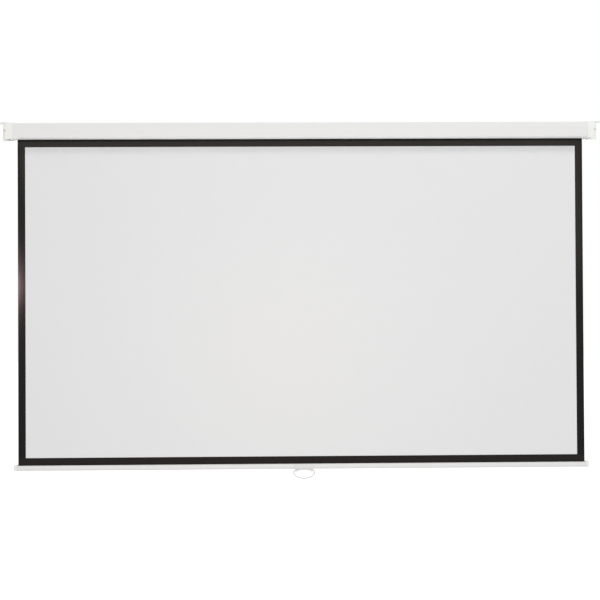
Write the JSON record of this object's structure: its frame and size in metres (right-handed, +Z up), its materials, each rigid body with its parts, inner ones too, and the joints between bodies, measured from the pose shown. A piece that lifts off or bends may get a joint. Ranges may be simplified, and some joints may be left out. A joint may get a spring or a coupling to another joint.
{
  "type": "pull down projector screen",
  "caption": "Manual pull down projector screen: a spring roller in a white metal case, matte white fabric with a black border, a weight bar and a pull loop.",
  "frame": {"origin": "in the wall plane, midway between the two keyhole seats and at their height, 15 mm below the top of the case", "axes": "+X to the viewer's right along the case, +Y backwards into the wall, +Z up; the viewer stands on the -Y side"},
  "size_m": [2.41, 0.0708, 1.4309],
  "materials": {
    "case_steel": "satin",
    "cap_plastic": "satin",
    "bar_steel": "satin",
    "handle_plastic": "satin",
    "screen_white": "matte",
    "border_black": "satin",
    "backing_black": "matte",
    "roller_steel": "satin",
    "zinc": "bright",
    "spring_wire": "oiled",
    "nylon": "matte"
  },
  "bodies": {
    "housing": {"case_shell": "case_steel", "end_cap_left": "cap_plastic", "end_cap_right": "cap_plastic", "cap_screw_left_top": "zinc", "cap_screw_left_bottom": "zinc", "cap_screw_right_top": "zinc", "cap_screw_right_bottom": "zinc", "idler_bush": "nylon", "spring_shaft": "zinc", "spring_collar": "zinc", "torsion_spring": "spring_wire", "ratchet_wheel": "zinc", "mask_border": "border_black", "viewing_fabric": "screen_white", "fabric_backing": "backing_black"},
    "roller": {"roller_tube": "roller_steel", "fabric_wrap": "backing_black", "fabric_spline": "nylon", "idler_plug": "nylon", "idler_pin": "zinc", "bearing_plug": "nylon", "spring_hub": "nylon", "pawl_pin_upper": "zinc", "pawl_pin_lower": "zinc"},
    "upper_pawl": {"pawl_upper": "zinc"},
    "lower_pawl": {"pawl_lower": "zinc"},
    "bar": {"bar_tube": "bar_steel", "hem_strip": "border_black", "hem_rod": "roller_steel", "bar_cap_left": "cap_plastic", "bar_cap_right": "cap_plastic", "handle_saddle": "handle_plastic", "saddle_screw": "zinc"},
    "handle": {"pull_loop": "handle_plastic"}
  },
  "joints": [
    {"name": "bar_slide", "type": "slide", "parent": "housing", "child": "bar", "axis": [0, 0, 1], "range_m": [0, 1.296], "deforming": ["mask_border", "viewing_fabric", "fabric_backing"]},
    {"name": "roller_turn", "type": "hinge", "parent": "housing", "child": "roller", "pos_m": [0, -0.033, -0.015], "axis": [1, 0, 0], "range_deg": [0, 3510.1]},
    {"name": "pawl_upper_swing", "type": "hinge", "parent": "roller", "child": "upper_pawl", "pos_m": [1.1496, -0.023, -0.0045], "axis": [1, 0, 0], "range_deg": [0, 12]},
    {"name": "pawl_lower_swing", "type": "hinge", "parent": "roller", "child": "lower_pawl", "pos_m": [1.1496, -0.043, -0.0255], "axis": [1, 0, 0], "range_deg": [0, 12]},
    {"name": "loop_swing", "type": "hinge", "parent": "bar", "child": "handle", "pos_m": [0.006, -0.01201, -1.378], "axis": [1, 0, 0], "range_deg": [-80, 80]}
  ],
  "couplings": [
    {"joint": "roller_turn", "follows": "bar_slide", "rad_per_m": 47.269}
  ]
}
